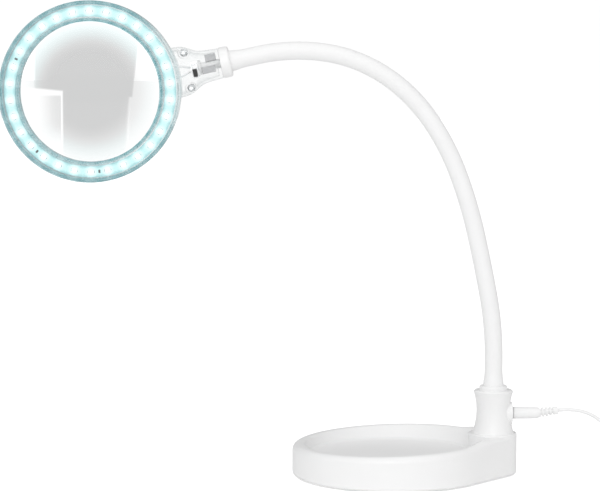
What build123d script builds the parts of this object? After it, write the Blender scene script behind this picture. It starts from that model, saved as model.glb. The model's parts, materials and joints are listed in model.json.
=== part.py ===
from build123d import *
import math
import os

os.makedirs("parts", exist_ok=True)

# Desktop ring magnifier with a built-in light, in millimetres.
# Origin: centre of the round base on the surface it stands on.
# +X towards the column, +Y away from the user's side, +Z up.

# ---- fits ----
slip = 0.05  # radial play of a shaft or ball that turns
seat = 0.1  # play around a piece that is dropped into a pocket
apart = 0.45  # free space between neighbouring neck sleeves

# ---- base ----
base_radius = 64.4
lug_radius = 15.5
column_x = base_radius  # the column stands over the base's edge
lug_back = 0.4  # the lug's middle lies this much nearer the centre than the column's
wall = 2.4
rim_height = 22.6  # height of the rim over the centre of the base
rim_slope = 2.04  # degrees, the rim rises towards the column
rim_outer_round = 4.3
rim_inner_round = 2.4
rim_width = 7.0
recess_radius = base_radius - rim_width
recess_flare = 6.4  # how much the recess widens from its floor to its rim
recess_corner = 2.4  # width of the slope at the edge of the floor
recess_floor_radius = recess_radius - recess_flare
floor_height = 14.0
ramp_start = column_x - 21.4  # the rim sweeps up to the lug from here
ramp_end = column_x - 7.4
ramp_rise = 1.7
lug_step = 0.25  # the lug stands this much above the rim behind it
slope = math.tan(math.radians(rim_slope))
lug_height = round(rim_height + ramp_rise + slope * (column_x + lug_radius) + lug_step, 1)
skirt_gap = 0.6  # the shell's edge stays clear of the table
pad_thickness = 1.2
cover_thickness = 2.0
ballast_thickness = 7.0
cover_screw_circle = base_radius - 7.4
cover_screw_angles = (50, 130, 230, 310)
cover_screw_radius = 1.5
cover_screw_head = 2.8
cover_post_radius = 3.1
ballast_radius = cover_screw_circle - cover_post_radius - 1.9

# ---- column ----
column_foot = 13.3
column_waist = 10.75
column_waist_height = 43.6
column_head = 12.65
column_head_height = 54.0
column_top = 54.9
collar_radius = 8.95
collar_height = 2.9
jack_height = 39.9
jack_boss_radius = 7.1
jack_boss_face = column_x + 12.1
jack_radius = 4.9
socket_radius = 2.8  # a barrel plug of 5.5 mm
pin_radius = 1.0
post_offset = 7.3
post_radius = 2.8
post_top = 34.6
locator_radius = 4.0  # a short boss under the column that centres it on the base
locator_length = 3.0
wire_hole = 2.0
column_floor = 2.2
lug_roof = 5.4  # thickness of the lug under the column
column_screw_radius = 1.2
column_screw_head = 2.8
column_screw_head_height = 1.8
jack_body_length = 12.5
jack_bore_depth = 11.0
pin_length = 13.0
pin_depth = 2.0

# ---- neck ----
sleeve_radius = 5.75
sleeve_wall = 0.6
sleeve_end_radius = sleeve_radius + 0.85
sleeve_flare = 9.0  # length of the wider end at the column and at the ferrule
nut_wall = 2.75
nut_height = 4.0
neck_turns = [0.0, 10.5, 2.5, 8.0, 14.7, 22.5, 24.7, 19.3, 0.0]  # degrees in each link
end_link = 18.0
link = 40.4
ball_radius = 4.0
ball_neck_radius = 2.7
wire_bore = 1.9
mouth = 1.6  # how far a socket reaches past the middle of its ball
skirt = 0.9  # how far a sleeve reaches past the middle of the ball

# ---- head ----
lens_radius = 45.0
lens_edge = 2.0
lens_curve = 348.0
ring_width = 12.35
head_radius = lens_radius + ring_width
head_half_depth = 10.0
head_wall = 1.8
sight_radius = lens_radius - 0.75
handle_half_depth = 9.6
handle_length = 26.85
handle_end = head_radius + handle_length
handle_profile = [  # share of the handle's length past the ring, half width
    (-0.199, 16.2),
    (-0.013, 16.0),
    (0.192, 15.2),
    (0.352, 13.1),
    (0.471, 11.4),
    (0.695, 10.1),
    (1.0, 9.6),
]
head_screw_at = (head_radius + 5.55, 11.4)
head_screw_radius = 1.2
head_screw_head = 2.6
head_boss_radius = 3.7
head_screw_seat = 3.5  # the screw heads bear this far behind the lens plane
ferrule_radius = 9.8
ferrule_length = 6.6
spigot_radius = 2.9
spigot_flange_radius = 4.8
spigot_flange_at = handle_end - 13.9
side_block = (6.6, 4.4, 4.4)  # a metal block beside the spigot
side_block_at = handle_end - 5.6
front_block = (8.6, 4.4, 2.8)  # a second one in front of it
front_block_at = (handle_end - 7.8, -2.3)
board_inner = lens_radius + 2.2
board_outer = head_radius - 2.95
board_thickness = 1.6
board_height = 1.0
led_circle = (board_inner + board_outer) / 2
led_count = 30
led_size = (3.5, 2.8, 0.8)
resistor_slots = [12, 18, 22]  # the gaps between lamps that hold a resistor
knob_at = (handle_end - 16.4, -2.5)
knob_size = (2.7, 5.0, 1.7)
knob_stem = 2.0
knob_travel = 4.0

# ---- lead ----
plug_radius = 3.9
plug_length = 16.5
relief_length = 12.5
relief_lift = 7.0  # degrees
relief_radius = 3.2
relief_end_radius = 2.5
rib_count = 4
lead_diameter = 2.4
lead_length = 1200.0
coil_radius = 13.5
coil_centre = (166.0, -14.0)
lead_route = [
    (113.8, 0.0, 42.6),
    (129.0, 0.3, 38.9),
    (142.5, 0.0, 26.0),
    (152.5, -0.5, 12.5),
]
lead_end = (162.0, -0.7, 8.4)
usb_body = (12.0, 19.0, 7.8)
usb_shell = (12.0, 12.0, 4.5)


def save(builder, name, where=Location()):
    """Write one finished piece to parts/."""
    piece = builder.part.moved(where)
    piece.label = name
    export_step(piece, f"parts/{name}.step")


def disc(radius, bottom, top, at=(0, 0), hole=0):
    """A disc or ring between two heights, added to the open part."""
    with BuildSketch(Plane.XY.offset(bottom)) as round_face:
        with Locations(at):
            Circle(radius)
            if hole:
                Circle(hole, mode=Mode.SUBTRACT)
    extrude(round_face.sketch, amount=top - bottom)


def drill(radius, bottom, top, at=(0, 0)):
    """A round hole between two heights, cut from the open part."""
    with BuildSketch(Plane.XY.offset(bottom)) as round_face:
        with Locations(at):
            Circle(radius)
    extrude(round_face.sketch, amount=top - bottom, mode=Mode.SUBTRACT)


def turned(points, about=Axis.Z, plane=Plane.XZ, mode=Mode.ADD):
    """A closed outline of straight sides, turned about an axis."""
    with BuildSketch(plane) as outline:
        with BuildLine():
            Polyline(points, close=True)
        make_face()
    revolve(outline.sketch, axis=about, mode=mode)


def base_outline(bottom, inset):
    """The base seen from above: the round tray drawn together with the column's lug."""
    with BuildSketch(Plane.XY.offset(bottom)) as outline:
        Circle(base_radius - inset)
        with Locations((column_x - lug_back, 0)):
            Circle(lug_radius - inset)
        make_hull()
    return outline.sketch


# ================= base =================

screw_spots = [
    (
        cover_screw_circle * math.cos(math.radians(a)),
        cover_screw_circle * math.sin(math.radians(a)),
    )
    for a in cover_screw_angles
]
lug_at = (column_x - lug_back, 0)
roof = floor_height - wall
wall_foot = floor_height + 1.0  # where the recess's straight wall starts

with BuildPart() as base_shell:
    extrude(base_outline(skirt_gap, 0), amount=rim_height + 8)
    with BuildSketch(Plane.XZ) as above:
        with BuildLine():
            Line((-150, rim_height - 150 * slope), (ramp_start, rim_height + ramp_start * slope))
            Spline(
                (ramp_start, rim_height + ramp_start * slope),
                (ramp_end, rim_height + ramp_end * slope + ramp_rise),
                tangents=[(1, slope), (1, slope)],
            )
            Polyline(
                (ramp_end, rim_height + ramp_end * slope + ramp_rise),
                (150, rim_height + 150 * slope + ramp_rise),
                (150, 60),
                (-150, 60),
                (-150, rim_height - 150 * slope),
            )
        make_face()
    extrude(above.sketch, amount=100, both=True, mode=Mode.SUBTRACT)
    outer_rim = [
        e
        for e in base_shell.edges().filter_by(Axis.Y, reverse=True).filter_by(Axis.Z, reverse=True)
        if e.center().Z > floor_height
    ]
    fillet(outer_rim, rim_outer_round)
    bottom_edge = base_shell.faces().sort_by(Axis.Z)[0].outer_wire().edges()
    fillet(bottom_edge, 2.2)
    turned(
        [
            (0, floor_height),
            (recess_floor_radius, floor_height),
            (recess_floor_radius + recess_corner, wall_foot),
            (recess_radius, rim_height),
            (2 * recess_radius - recess_floor_radius - recess_corner, 2 * rim_height - wall_foot),
            (0, 2 * rim_height - wall_foot),
        ],
        mode=Mode.SUBTRACT,
    )
    inner_rim = [
        e
        for e in base_shell.edges()
        if e.center().Z > rim_height - 4
        and abs(math.hypot(e.position_at(0.3).X, e.position_at(0.3).Y) - recess_radius) < 1.2
    ]
    fillet(inner_rim, rim_inner_round)
    disc(lug_radius, floor_height - 1, lug_height, lug_at)
    boss_top = base_shell.faces().sort_by(Axis.Z)[-1].outer_wire().edges()
    fillet(boss_top, 0.8)
    # the hollow underneath
    turned(
        [
            (0, -1),
            (base_radius - wall, -1),
            (base_radius - wall, floor_height + 2),
            (base_radius - wall - 1.2, floor_height + 3.5),
            (base_radius - wall - 2.6, floor_height + 2),
            (recess_radius - 4.0, roof),
            (0, roof),
        ],
        mode=Mode.SUBTRACT,
    )
    drill(lug_radius - wall, -1, lug_height - lug_roof, lug_at)
    extrude(base_outline(-1, wall), amount=1 + pad_thickness + cover_thickness, mode=Mode.SUBTRACT)
    drill(locator_radius + seat, 5, 40, (column_x, 0))
    for spot in screw_spots:
        disc(cover_post_radius, pad_thickness + cover_thickness + 0.3, roof + 2, spot)
        drill(cover_screw_radius, 2, roof - 1, spot)
    for side in (1, -1):
        drill(column_screw_radius + 0.5, 20, 40, (column_x, side * post_offset))
save(base_shell, "base_shell")

with BuildPart() as bottom_cover:
    extrude(base_outline(pad_thickness, wall + seat), amount=cover_thickness)
    for spot in screw_spots:
        drill(cover_screw_radius + 0.2, 0, 5, spot)
        drill(cover_screw_head + 0.2, pad_thickness, pad_thickness + 1.3, spot)
save(bottom_cover, "bottom_cover")

with BuildPart() as cover_screws:
    for spot in screw_spots:
        disc(cover_screw_head, pad_thickness + 0.1, pad_thickness + 1.25, spot)
        disc(cover_screw_radius - slip, pad_thickness + 1.25, roof - 1.2, spot)
        with BuildSketch(Plane.XY.offset(pad_thickness + 0.1)) as cross:
            with Locations(spot):
                Rectangle(3.2, 0.7)
                Rectangle(0.7, 3.2)
        extrude(cross.sketch, amount=0.6, mode=Mode.SUBTRACT)
save(cover_screws, "cover_screws")

with BuildPart() as foot_pad:
    disc(base_radius - wall - 2.6, 0, pad_thickness)
    for spot in screw_spots:
        drill(cover_screw_head + 0.6, -1, 3, spot)
save(foot_pad, "foot_pad")

ballast_bottom = pad_thickness + cover_thickness
with BuildPart() as ballast:
    disc(ballast_radius, ballast_bottom, ballast_bottom + ballast_thickness)
    chamfer(ballast.edges(), 0.6)
save(ballast, "ballast")

# ================= column =================

column_plane = Plane((column_x, 0, 0), x_dir=(1, 0, 0), z_dir=(0, -1, 0))
column_axis = Axis((column_x, 0, 0), (0, 0, 1))


def vase(inset, bottom, top):
    """The column's curved outline, thinned by inset, as a face to turn."""
    with BuildSketch(column_plane) as outline:
        with BuildLine():
            Spline(
                (column_foot - inset, lug_height),
                (12.15 - inset, 31.2),
                (11.05 - inset, 37.0),
                (column_waist - inset, column_waist_height),
                (11.5 - inset, 49.5),
                (column_head - inset, column_head_height),
            )
            Polyline(
                (column_head - inset, column_head_height),
                (column_head - inset - 0.9, column_top),
                (0, column_top),
                (0, lug_height),
                (column_foot - inset, lug_height),
            )
        make_face()
        with Locations((0, (bottom + top) / 2)):
            Rectangle(60, top - bottom, mode=Mode.INTERSECT)
    return outline.sketch


jack_plane = Plane((jack_boss_face, 0, jack_height), x_dir=(0, 1, 0), z_dir=(-1, 0, 0))

with BuildPart() as column:
    revolve(vase(0, lug_height, column_top), axis=column_axis)
    with BuildSketch(jack_plane) as boss:
        Circle(jack_boss_radius)
    extrude(boss.sketch, amount=jack_boss_face - column_x)
    hollow_base = lug_height + column_floor
    revolve(vase(wall, hollow_base, column_top - wall), axis=column_axis, mode=Mode.SUBTRACT)
    disc(locator_radius, lug_height - locator_length, hollow_base, (column_x, 0))
    drill(wire_hole, lug_height - 6, lug_height + 6, (column_x, 0))
    for side in (1, -1):
        disc(post_radius, lug_height + 1, post_top, (column_x, side * post_offset))
        drill(column_screw_radius + slip, lug_height - 6, post_top - 2, (column_x, side * post_offset))
    with BuildSketch(jack_plane) as hole:
        Circle(jack_radius + seat)
    extrude(hole.sketch, amount=jack_boss_face - column_x, mode=Mode.SUBTRACT)
    drill(sleeve_radius - sleeve_wall + seat, 50, 60, (column_x, 0))
save(column, "column")

with BuildPart() as column_screws:
    for side in (1, -1):
        spot = (column_x, side * post_offset)
        under_lug = lug_height - lug_roof
        disc(column_screw_head, under_lug - column_screw_head_height, under_lug, spot)
        disc(column_screw_radius, under_lug, post_top - 3, spot)
save(column_screws, "column_screws")

with BuildPart() as dc_jack:
    with BuildSketch(jack_plane.offset(0.4)) as barrel:
        Circle(jack_radius)
    extrude(barrel.sketch, amount=jack_body_length)
    with BuildSketch(jack_plane) as mouth_hole:
        Circle(socket_radius)
    extrude(mouth_hole.sketch, amount=jack_bore_depth, mode=Mode.SUBTRACT)
    with BuildSketch(jack_plane.offset(jack_bore_depth - 1)) as pin_seat:
        Circle(pin_radius)
    extrude(pin_seat.sketch, amount=pin_length, mode=Mode.SUBTRACT)
save(dc_jack, "dc_jack")

with BuildPart() as jack_pin:
    with BuildSketch(jack_plane.offset(pin_depth)) as pin:
        Circle(pin_radius)
    extrude(pin.sketch, amount=pin_length)
    fillet(jack_pin.edges().sort_by(Axis.X)[-1], 0.5)
save(jack_pin, "jack_pin")

with BuildPart() as neck_collar:
    disc(collar_radius, column_top, column_top + collar_height, (column_x, 0))
    fillet(neck_collar.edges().sort_by(Axis.Z)[-1], 1.1)
    drill(sleeve_radius - sleeve_wall + seat, 50, 70, (column_x, 0))
save(neck_collar, "neck_collar")

# ================= neck =================

neck_start = column_top + collar_height
link_lengths = [end_link] + [link] * (len(neck_turns) - 2) + [end_link]
stations = [(column_x, neck_start, 90.0)]
for length, turn in zip(link_lengths, neck_turns):
    x, z, heading = stations[-1]
    middle = math.radians(heading + turn / 2)
    half = math.radians(turn / 2)
    chord = length * (math.sin(half) / half if turn else 1)
    stations.append(
        (x + chord * math.cos(middle), z + chord * math.sin(middle), heading + turn)
    )


def cross_plane(i, ahead=0.0):
    """The plane across the neck at station i, looking towards the head."""
    x, z, heading = stations[i]
    c, s = math.cos(math.radians(heading)), math.sin(math.radians(heading))
    return Plane((x + ahead * c, 0, z + ahead * s), x_dir=(-s, 0, c), z_dir=(c, 0, s))


def run(i, radius, hole=0, mode=Mode.ADD):
    """A round bar or tube along link i, from its station to the next."""
    with BuildSketch(cross_plane(i)) as section:
        Circle(radius)
        if hole:
            Circle(hole, mode=Mode.SUBTRACT)
    turn = neck_turns[i]
    if turn:
        x, z, heading = stations[i]
        bend = link_lengths[i] / math.radians(turn)
        side = math.radians(heading + 90)
        centre = (x + bend * math.cos(side), 0, z + bend * math.sin(side))
        revolve(section.sketch, axis=Axis(centre, (0, -1, 0)), revolution_arc=turn, mode=mode)
    else:
        extrude(section.sketch, amount=link_lengths[i], mode=mode)


def stub(i, radius, start, end, hole=0, mode=Mode.ADD):
    """A straight round bar or tube across station i, between two distances along the neck."""
    with BuildSketch(cross_plane(i, start)) as section:
        Circle(radius)
        if hole:
            Circle(hole, mode=Mode.SUBTRACT)
    extrude(section.sketch, amount=end - start, mode=mode)


def hollow_ball(i, radius):
    """A round hollow at station i."""
    with Locations(cross_plane(i).origin):
        Sphere(radius, mode=Mode.SUBTRACT)


core_radius = sleeve_radius - sleeve_wall - slip
shoulder = math.hypot(sleeve_radius, skirt) + apart
last = len(neck_turns) - 1
root_depth = 9.2
tip_depth = 4.0

for i in range(len(neck_turns)):
    with BuildPart() as core:
        run(i, core_radius)
        if i == 0:
            stub(i, core_radius, -root_depth, 0)
        else:
            stub(i, core_radius, -mouth, 0)
        if i == last:
            stub(i + 1, core_radius, 0, tip_depth)
        else:
            hollow_ball(i + 1, shoulder)
            run(i, ball_neck_radius)
            with Locations(cross_plane(i + 1).origin):
                Sphere(ball_radius)
        if i > 0:
            hollow_ball(i, ball_radius + slip)
        run(i, wire_bore, mode=Mode.SUBTRACT)
        stub(i + 1, wire_bore, 0, ball_radius + 1, mode=Mode.SUBTRACT)
        if i == 0:
            stub(i, wire_bore, -root_depth - 1, 0, mode=Mode.SUBTRACT)
    save(core, f"neck_core_{i}")

    with BuildPart() as sleeve:
        run(i, sleeve_radius, core_radius + slip)
        if i in (0, last):
            flare_end = i if i == 0 else last + 1
            flare_run = sleeve_flare if i == 0 else -sleeve_flare
            with BuildSketch(cross_plane(flare_end)) as wide_end:
                Circle(sleeve_end_radius)
            with BuildSketch(cross_plane(flare_end, flare_run)) as narrow_end:
                Circle(sleeve_radius)
            loft([wide_end.sketch.face(), narrow_end.sketch.face()])
            stub(flare_end, core_radius + slip, -10, 10, mode=Mode.SUBTRACT)
        if i > 0:
            stub(i, sleeve_radius, -skirt, 0, core_radius + slip)
        if i < last:
            hollow_ball(i + 1, shoulder)
    save(sleeve, f"neck_sleeve_{i}")

with BuildPart() as root_nut:
    with BuildSketch(Plane.XY.offset(column_top - wall - nut_height)) as hexagon:
        with Locations((column_x, 0)):
            RegularPolygon(core_radius + slip + nut_wall, 6)
            Circle(core_radius + slip, mode=Mode.SUBTRACT)
    extrude(hexagon.sketch, amount=nut_height)
save(root_nut, "root_nut")

# ================= head =================
# The head is drawn about its own lens: x along the handle, z towards the lit side.

tip_x, tip_z, tip_heading = stations[-1]
axis_angle = math.radians(tip_heading - 180)
reach = handle_end + ferrule_length
head_plane = Plane(
    (tip_x - reach * math.cos(axis_angle), 0, tip_z - reach * math.sin(axis_angle)),
    x_dir=(math.cos(axis_angle), 0, math.sin(axis_angle)),
    z_dir=(0, -1, 0),
)
head = head_plane.location
across = Plane.YZ  # looking along the handle
handle_edge = [(head_radius + share * handle_length, y) for share, y in handle_profile]


def handle_form(inset, start, end):
    """The handle's waisted body of revolution, thinned by inset."""
    with BuildPart() as form:
        with BuildSketch(Plane.XY) as outline:
            with BuildLine():
                edge = Spline([(x, y - inset) for x, y in handle_edge])
                Polyline(edge @ 1, (handle_end, 0), (handle_edge[0][0], 0), edge @ 0)
            make_face()
            with Locations(((start + end) / 2, 20)):
                Rectangle(end - start, 80, mode=Mode.INTERSECT)
        revolve(outline.sketch, axis=Axis.X)
        Box(400, 200, 2 * (handle_half_depth - inset), mode=Mode.INTERSECT)
    return form


handle_outer = handle_form(0, head_radius - 8, handle_end)
handle_inner = handle_form(head_wall, head_radius - 4, handle_end - 2.2)
post_spots = [(head_screw_at[0], side * head_screw_at[1]) for side in (1, -1)]
with BuildPart() as handle_hollow:
    add(handle_inner.part)
    Cylinder(head_radius, 60, mode=Mode.SUBTRACT)
    for spot in post_spots:
        drill(head_boss_radius, -20, 20, spot)


def shell_half(front):
    """One half of the clear ring and handle, split on the plane of the lens."""
    s = 1 if front else -1
    deep = s * head_half_depth
    inside = s * (head_half_depth - head_wall)
    lip = lens_radius + head_wall + seat
    clamp = s * (lens_edge / 2 + 1.5 * seat)
    with BuildPart() as half:
        add(handle_outer.part)
        with Locations((0, 0, s * 50)):
            Box(400, 200, 100, mode=Mode.INTERSECT)
        core = sight_radius - 4  # inside the sight's own hole
        turned([(core, 0), (head_radius, 0), (head_radius, deep), (core, deep)])
        face = half.faces().sort_by(Axis.Z)[-1 if front else 0]
        fillet(face.outer_wire().edges(), 1.6)
        turned(
            [
                (lip, 0),
                (head_radius - head_wall, 0),
                (head_radius - head_wall, inside),
                (lip, inside),
            ],
            mode=Mode.SUBTRACT,
        )
        turned(
            [
                (0, 0),
                (lens_radius + seat, 0),
                (lens_radius + seat, clamp),
                (sight_radius, clamp),
                (sight_radius, deep),
                (0, deep),
            ],
            mode=Mode.SUBTRACT,
        )
        add(handle_hollow.part, mode=Mode.SUBTRACT)
        with Locations((head_radius - 1, 0, 0)):
            Box(8, 13, 9, mode=Mode.SUBTRACT)
        for spot in post_spots:
            if front:
                drill(head_screw_radius, -1, 6.6, spot)
            else:
                drill(head_screw_radius + 0.4, -20, 1, spot)
                drill(head_screw_head + 0.3, -20, -head_screw_seat, spot)
        with Locations((handle_end - 1, 0, 0)):
            Cylinder(spigot_radius + slip, 6, rotation=(0, 90, 0), mode=Mode.SUBTRACT)
    return half


front_shell = shell_half(True)
with front_shell:
    with Locations((knob_at[0], knob_at[1] + knob_travel / 2, handle_half_depth - 1)):
        Box(knob_stem + 0.8, knob_stem + knob_travel + 0.8, 4, mode=Mode.SUBTRACT)
save(front_shell, "front_shell", head)

rear_shell = shell_half(False)
rib = (board_inner + board_outer) / 2
with rear_shell:
    disc(rib + 1.0, 0.2 - head_half_depth, board_height, hole=rib - 1.0)
    tongue = head_radius - head_wall - seat
    disc(tongue, 0, 1.5, hole=tongue - 0.8)
    disc(tongue + seat + 0.1, -1.5, 0, hole=tongue - 0.8)
    with Locations((head_radius - 1, 0, 0)):
        Box(8, 13, 9, mode=Mode.SUBTRACT)
save(rear_shell, "rear_shell", head)


with BuildPart() as lens:
    sag = lens_curve - math.sqrt(lens_curve**2 - lens_radius**2)
    with BuildSketch(Plane.XZ) as outline:
        with BuildLine():
            ThreePointArc(
                (0, lens_edge / 2 + sag),
                (
                    lens_radius / 2,
                    lens_edge / 2 + sag - lens_curve + math.sqrt(lens_curve**2 - lens_radius**2 / 4),
                ),
                (lens_radius, lens_edge / 2),
            )
            Line((lens_radius, lens_edge / 2), (lens_radius, -lens_edge / 2))
            ThreePointArc(
                (lens_radius, -lens_edge / 2),
                (
                    lens_radius / 2,
                    -lens_edge / 2 - sag + lens_curve - math.sqrt(lens_curve**2 - lens_radius**2 / 4),
                ),
                (0, -lens_edge / 2 - sag),
            )
            Line((0, -lens_edge / 2 - sag), (0, lens_edge / 2 + sag))
        make_face()
    revolve(outline.sketch, axis=Axis.Z)
save(lens, "lens", head)

board_top = board_height + board_thickness
with BuildPart() as led_board:
    disc(board_outer, board_height, board_top)
    drill(board_inner, 0, 5)
save(led_board, "led_board", head)

pitch = 360 / led_count
with BuildPart() as leds:
    with BuildSketch(Plane.XY.offset(board_top)) as package:
        with PolarLocations(led_circle, led_count, start_angle=pitch / 2):
            Rectangle(led_size[1], led_size[0])
    extrude(package.sketch, amount=led_size[2])
save(leds, "leds", head)

with BuildPart() as resistors:
    for k in resistor_slots:
        with BuildSketch(Plane.XY.offset(board_top)) as chip:
            with Locations(Location((0, 0, 0), (0, 0, k * pitch))):
                with Locations((led_circle, 0)):
                    Rectangle(2.0, 1.2)
        extrude(chip.sketch, amount=0.5)
save(resistors, "resistors", head)

switch_top = handle_half_depth - head_wall - 0.1
with BuildPart() as switch_body:
    with Locations((knob_at[0], knob_at[1] + knob_travel / 2, switch_top - 1.9)):
        Box(4.4, 10.5, 3.8)
        with Locations((0, 0, 1.2)):
            Box(knob_stem + 0.6, knob_stem + knob_travel + 0.6, 3, mode=Mode.SUBTRACT)
save(switch_body, "switch_body", head)

with BuildPart() as switch_knob:
    stem_foot = switch_top - 1.7
    knob_foot = handle_half_depth + 0.35
    with Locations((knob_at[0], knob_at[1], (stem_foot + knob_foot) / 2)):
        Box(knob_stem, knob_stem, knob_foot - stem_foot)
    with Locations((knob_at[0], knob_at[1], knob_foot + knob_size[2] / 2)):
        Box(*knob_size)
    for step in (-1.5, 0, 1.5):
        with Locations((knob_at[0], knob_at[1] + step, knob_foot + knob_size[2])):
            Box(5, 0.5, 0.7, mode=Mode.SUBTRACT)
save(switch_knob, "switch_knob", head)

with BuildPart() as head_screws:
    for spot in post_spots:
        under = -head_screw_seat - 1.7
        disc(head_screw_head, under, -head_screw_seat, spot)
        disc(head_screw_radius - slip, -head_screw_seat, 5.5, spot)
        with BuildSketch(Plane.XY.offset(under)) as cross:
            with Locations(spot):
                Rectangle(2.8, 0.6)
                Rectangle(0.6, 2.8)
        extrude(cross.sketch, amount=0.6, mode=Mode.SUBTRACT)
save(head_screws, "head_screws", head)

with BuildPart() as friction_blocks:
    with Locations((side_block_at, spigot_radius + slip + side_block[1] / 2, 0)):
        Box(*side_block)
    with Locations((*front_block_at, spigot_radius + slip + front_block[2] / 2)):
        Box(*front_block)
save(friction_blocks, "friction_blocks", head)

with BuildPart() as swivel_spigot:
    with BuildSketch(across.offset(spigot_flange_at)) as shaft:
        Circle(spigot_radius)
    extrude(shaft.sketch, amount=reach - tip_depth - slip - spigot_flange_at)
    with BuildSketch(across.offset(spigot_flange_at)) as flange:
        Circle(spigot_flange_radius)
    extrude(flange.sketch, amount=1.5)
    with BuildSketch(across.offset(spigot_flange_at - 1)) as bore:
        Circle(1.5)
    extrude(bore.sketch, amount=30, mode=Mode.SUBTRACT)
save(swivel_spigot, "swivel_spigot", head)

with BuildPart() as ferrule:
    with BuildSketch(across.offset(handle_end + 0.3)) as ring:
        Circle(ferrule_radius)
    extrude(ring.sketch, amount=ferrule_length - 0.3)
    fillet(ferrule.edges().sort_by(Axis.X)[-1], 1.6)
    fillet(ferrule.edges().sort_by(Axis.X)[0], 0.5)
    with BuildSketch(across.offset(handle_end - 1)) as through:
        Circle(spigot_radius + slip)
    extrude(through.sketch, amount=10, mode=Mode.SUBTRACT)
    with BuildSketch(across.offset(reach - tip_depth)) as pocket:
        Circle(core_radius + slip)
    extrude(pocket.sketch, amount=10, mode=Mode.SUBTRACT)
save(ferrule, "ferrule", head)

with BuildPart() as head_wires:
    for side in (1, -1):
        with BuildLine() as route:
            FilletPolyline(
                (spigot_flange_at - 0.3, side * 0.75, 0),
                (head_radius + 7.15, side * 1.4, 0),
                (head_radius + 1.65, side * 3.2, 2.0),
                (board_outer + 0.3, side * 3.6, 1.9),
                radius=2.2,
            )
        with BuildSketch(Plane(route.line @ 0, z_dir=route.line % 0)) as wire_end:
            Circle(0.55)
        sweep(wire_end.sketch, path=route.line)
save(head_wires, "head_wires", head)

with BuildPart() as column_wires:
    for side in (1, -1):
        with BuildLine() as route:
            FilletPolyline(
                (jack_boss_face - 13.2, side * 1.6, jack_height + 1),
                (column_x - 5.0, side * 1.6, jack_height + 1),
                (column_x - 0.4, side * 0.8, neck_start - root_depth - 0.5),
                radius=1.2,
            )
        with BuildSketch(Plane(route.line @ 0, z_dir=route.line % 0)) as wire_end:
            Circle(0.55)
        sweep(wire_end.sketch, path=route.line)
save(column_wires, "column_wires")

# ================= lead =================

plug_face = jack_boss_face + 0.3
outward = Plane((plug_face, 0, jack_height), x_dir=(0, 1, 0), z_dir=(1, 0, 0))
with BuildPart() as plug_barrel:
    with BuildSketch(outward.offset(-9.6)) as tube:
        Circle(socket_radius - slip)
        Circle(pin_radius + slip, mode=Mode.SUBTRACT)
    extrude(tube.sketch, amount=12)
save(plug_barrel, "plug_barrel")

rise = math.radians(relief_lift)
relief_foot = (plug_face + plug_length, 0, jack_height + 0.15)
relief_plane = Plane(relief_foot, x_dir=(0, 1, 0), z_dir=(math.cos(rise), 0, math.sin(rise)))


def relief_width(along):
    """The strain relief's radius at a distance from its foot."""
    return relief_radius + (relief_end_radius - relief_radius) * along / relief_length


ribs = [(0, -0.8), (relief_width(0), -0.8)]
for k in range(rib_count):
    low = 1.2 + 2.4 * k
    high = low + 1.1
    ribs += [
        (relief_width(low), low),
        (relief_width(low) - 1.0, low),
        (relief_width(high) - 1.0, high),
        (relief_width(high), high),
    ]
ribs += [(relief_end_radius, relief_length), (0, relief_length)]

with BuildPart() as plug_body:
    turned(
        [
            (socket_radius - slip, 0),
            (plug_radius - 0.4, 0),
            (plug_radius, 0.4),
            (relief_radius + 0.4, plug_length),
            (0, plug_length),
            (0, 2.4),
            (socket_radius - slip, 2.4),
        ],
        about=Axis((plug_face, 0, jack_height), (1, 0, 0)),
        plane=Plane((plug_face, 0, jack_height), x_dir=(0, 1, 0), z_dir=(0, 0, -1)),
    )
    turned(
        ribs,
        about=Axis(relief_foot, (math.cos(rise), 0, math.sin(rise))),
        plane=Plane(relief_foot, x_dir=(0, 1, 0), z_dir=(math.sin(rise), 0, -math.cos(rise))),
    )
save(plug_body, "plug_body")

lead_start = relief_plane.offset(relief_length).origin
stops = [Vector(*lead_start)] + [Vector(*p) for p in lead_route] + [Vector(*lead_end)]
runs = [(b - a) for a, b in zip(stops, stops[1:])]
bends = []
for a, b in zip(runs, runs[1:]):
    turn = math.radians(a.get_angle(b))
    bends.append(0.45 * min(a.length, b.length) / math.tan(turn / 2))
print("lead bends", [round(r, 1) for r in bends], "runs", [round(r.length, 1) for r in runs])
with BuildPart() as lead:
    with BuildLine() as route:
        FilletPolyline(*stops, radius=bends)
    with BuildSketch(Plane(route.line @ 0, z_dir=route.line % 0)) as section:
        Circle(lead_diameter / 2)
    sweep(section.sketch, path=route.line)
laid = sum(e.length for e in route.line.edges())
print("lead volume", round(lead.part.volume, 2), round(math.pi * lead_diameter**2 / 4 * laid, 2), laid)
save(lead, "lead")

wound = lead_length - laid
coil_turns = wound / (2 * math.pi * coil_radius)
coil_thick = math.sqrt(coil_turns * lead_diameter**2 / 0.75) / 2
print("coil", round(coil_turns, 1), "turns, half thickness", round(coil_thick, 2))
with BuildPart() as lead_coil:
    with Locations((*coil_centre, coil_thick)):
        Torus(coil_radius, coil_thick)
save(lead_coil, "lead_coil")

usb_x = coil_centre[0] + coil_radius
usb_y = coil_centre[1] - math.sqrt((coil_radius + coil_thick) ** 2 - coil_radius**2) + 1.0
with BuildPart() as usb_plug:
    with BuildSketch(Plane((usb_x, usb_y, coil_thick), x_dir=(1, 0, 0), z_dir=(0, -1, 0))) as neck_end:
        Circle(1.9)
    with BuildSketch(
        Plane((usb_x, usb_y - 9, coil_thick - 1), x_dir=(1, 0, 0), z_dir=(0, -1, 0))
    ) as neck_foot:
        Circle(2.8)
    loft([neck_end.sketch.face(), neck_foot.sketch.face()])
    with Locations((usb_x, usb_y - 9 - usb_body[1] / 2, usb_body[2] / 2)):
        Box(*usb_body)
    fillet(usb_plug.edges().filter_by(Axis.Y), 1.6)
save(usb_plug, "usb_plug")

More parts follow.
